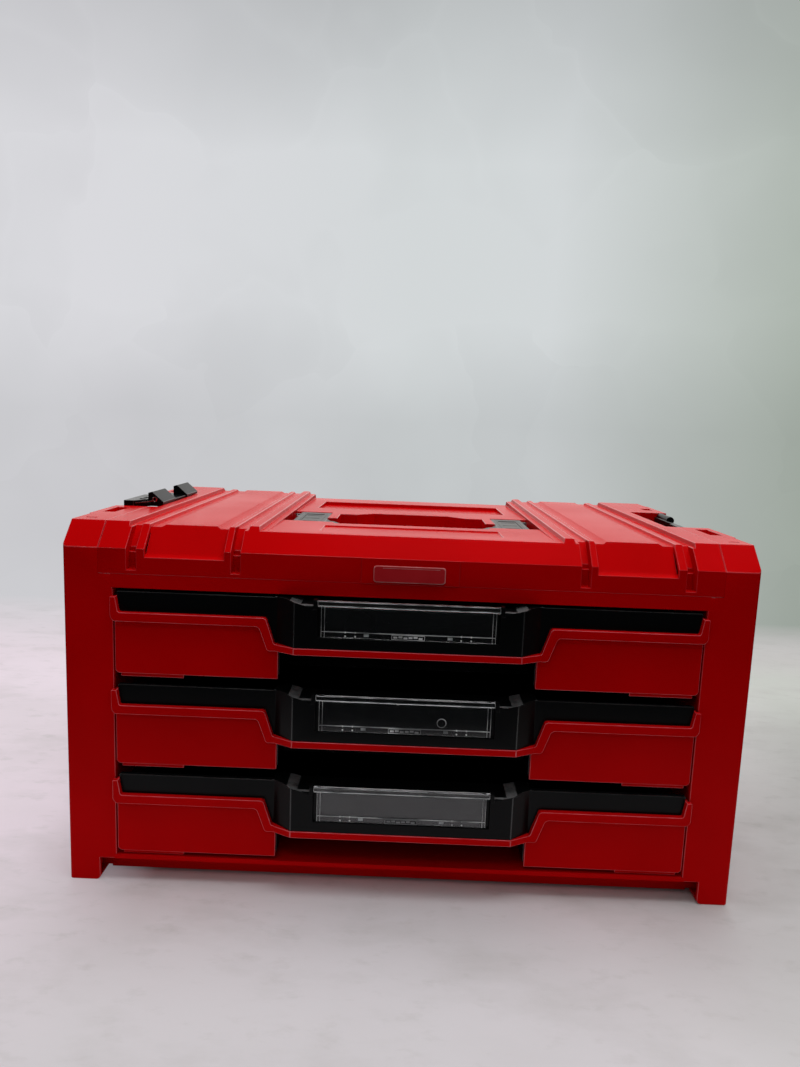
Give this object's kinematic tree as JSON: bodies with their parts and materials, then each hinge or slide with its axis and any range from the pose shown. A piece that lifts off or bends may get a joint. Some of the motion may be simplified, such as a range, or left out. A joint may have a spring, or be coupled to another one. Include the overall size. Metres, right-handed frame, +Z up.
{
  "type": "stackable drawer chest",
  "caption": "Stackable plastic tool chest with sliding label-front drawers, a fold-down carry handle and fold-over side latches.",
  "frame": {"origin": "on the floor under the middle of the box, midway between the sides and midway between the drawer pulls and the back", "axes": "+X right along the width, +Y from the drawer fronts to the back, +Z up"},
  "size_m": [0.455, 0.31, 0.2579],
  "materials": {
    "red_plastic": "fine satin moulded polypropylene",
    "black_plastic": "semi-gloss moulded",
    "grey_plastic": "satin moulded grip",
    "clear_plastic": "clear polished",
    "clear_plate": "bare domed plate",
    "zinc_steel": "zinc-plated rolled sheet",
    "steel": "bright drawn wire and screws"
  },
  "bodies": {
    "case": {"side_frame_right": "red_plastic", "side_frame_left": "red_plastic", "case_floor": "red_plastic", "case_back": "red_plastic", "top_frame": "red_plastic", "top_cover": "red_plastic", "cover_screws": "steel", "name_plate": "clear_plate", "handle_pin_right": "steel", "handle_pin_left": "steel", "latch_pins_right": "steel", "latch_pins_left": "steel", "bottom_case_rail_left": "zinc_steel", "bottom_case_rail_right": "zinc_steel", "middle_case_rail_left": "zinc_steel", "middle_case_rail_right": "zinc_steel", "top_case_rail_left": "zinc_steel", "top_case_rail_right": "zinc_steel"},
    "bottom_drawer": {"bottom_tub": "black_plastic", "bottom_pull": "black_plastic", "bottom_front": "red_plastic", "bottom_front_screws": "steel", "bottom_dividers": "black_plastic", "bottom_drawer_rail_left": "zinc_steel", "bottom_drawer_rail_right": "zinc_steel"},
    "bottom_slide_middle": {"bottom_middle_rail_left": "zinc_steel", "bottom_middle_rail_right": "zinc_steel"},
    "bottom_label_flap": {"bottom_label_window": "clear_plastic"},
    "middle_drawer": {"middle_tub": "black_plastic", "middle_pull": "black_plastic", "middle_front": "red_plastic", "middle_front_screws": "steel", "middle_dividers": "black_plastic", "middle_drawer_rail_left": "zinc_steel", "middle_drawer_rail_right": "zinc_steel"},
    "middle_slide_middle": {"middle_middle_rail_left": "zinc_steel", "middle_middle_rail_right": "zinc_steel"},
    "middle_label_flap": {"middle_label_window": "clear_plastic"},
    "top_drawer": {"top_tub": "black_plastic", "top_pull": "black_plastic", "top_front": "red_plastic", "top_front_screws": "steel", "top_dividers": "black_plastic", "top_drawer_rail_left": "zinc_steel", "top_drawer_rail_right": "zinc_steel"},
    "top_slide_middle": {"top_middle_rail_left": "zinc_steel", "top_middle_rail_right": "zinc_steel"},
    "top_label_flap": {"top_label_window": "clear_plastic"},
    "handle": {"carry_handle": "grey_plastic"},
    "right_latch": {"latch_right": "black_plastic"},
    "left_latch": {"latch_left": "black_plastic"}
  },
  "joints": [
    {"name": "bottom_drawer_slide", "type": "slide", "parent": "case", "child": "bottom_drawer", "axis": [0, -1, 0], "range_m": [0, 0.22]},
    {"name": "middle_drawer_slide", "type": "slide", "parent": "case", "child": "middle_drawer", "axis": [0, -1, 0], "range_m": [0, 0.22]},
    {"name": "top_drawer_slide", "type": "slide", "parent": "case", "child": "top_drawer", "axis": [0, -1, 0], "range_m": [0, 0.22]},
    {"name": "bottom_middle_slide", "type": "slide", "parent": "case", "child": "bottom_slide_middle", "axis": [0, -1, 0], "range_m": [0, 0.11]},
    {"name": "middle_middle_slide", "type": "slide", "parent": "case", "child": "middle_slide_middle", "axis": [0, -1, 0], "range_m": [0, 0.11]},
    {"name": "top_middle_slide", "type": "slide", "parent": "case", "child": "top_slide_middle", "axis": [0, -1, 0], "range_m": [0, 0.11]},
    {"name": "bottom_label_hinge", "type": "hinge", "parent": "bottom_drawer", "child": "bottom_label_flap", "pos_m": [0, -0.1538, 0.0768], "axis": [-1, 0, 0], "range_deg": [0, 95]},
    {"name": "middle_label_hinge", "type": "hinge", "parent": "middle_drawer", "child": "middle_label_flap", "pos_m": [0, -0.1538, 0.1398], "axis": [-1, 0, 0], "range_deg": [0, 95]},
    {"name": "top_label_hinge", "type": "hinge", "parent": "top_drawer", "child": "top_label_flap", "pos_m": [0, -0.1538, 0.2028], "axis": [-1, 0, 0], "range_deg": [0, 95]},
    {"name": "handle_hinge", "type": "hinge", "parent": "case", "child": "handle", "pos_m": [0, 0.0005, 0.2391], "axis": [-1, 0, 0], "range_deg": [0, 90]},
    {"name": "right_latch_hinge", "type": "hinge", "parent": "case", "child": "right_latch", "pos_m": [0.222, 0, 0.2445], "axis": [0, -1, 0], "range_deg": [0, 270]},
    {"name": "left_latch_hinge", "type": "hinge", "parent": "case", "child": "left_latch", "pos_m": [-0.222, 0, 0.2445], "axis": [0, -1, 0], "range_deg": [0, 270]}
  ],
  "couplings": [
    {"joint": "bottom_middle_slide", "follows": "bottom_drawer_slide", "ratio": 0.5},
    {"joint": "middle_middle_slide", "follows": "middle_drawer_slide", "ratio": 0.5},
    {"joint": "top_middle_slide", "follows": "top_drawer_slide", "ratio": 0.5}
  ]
}
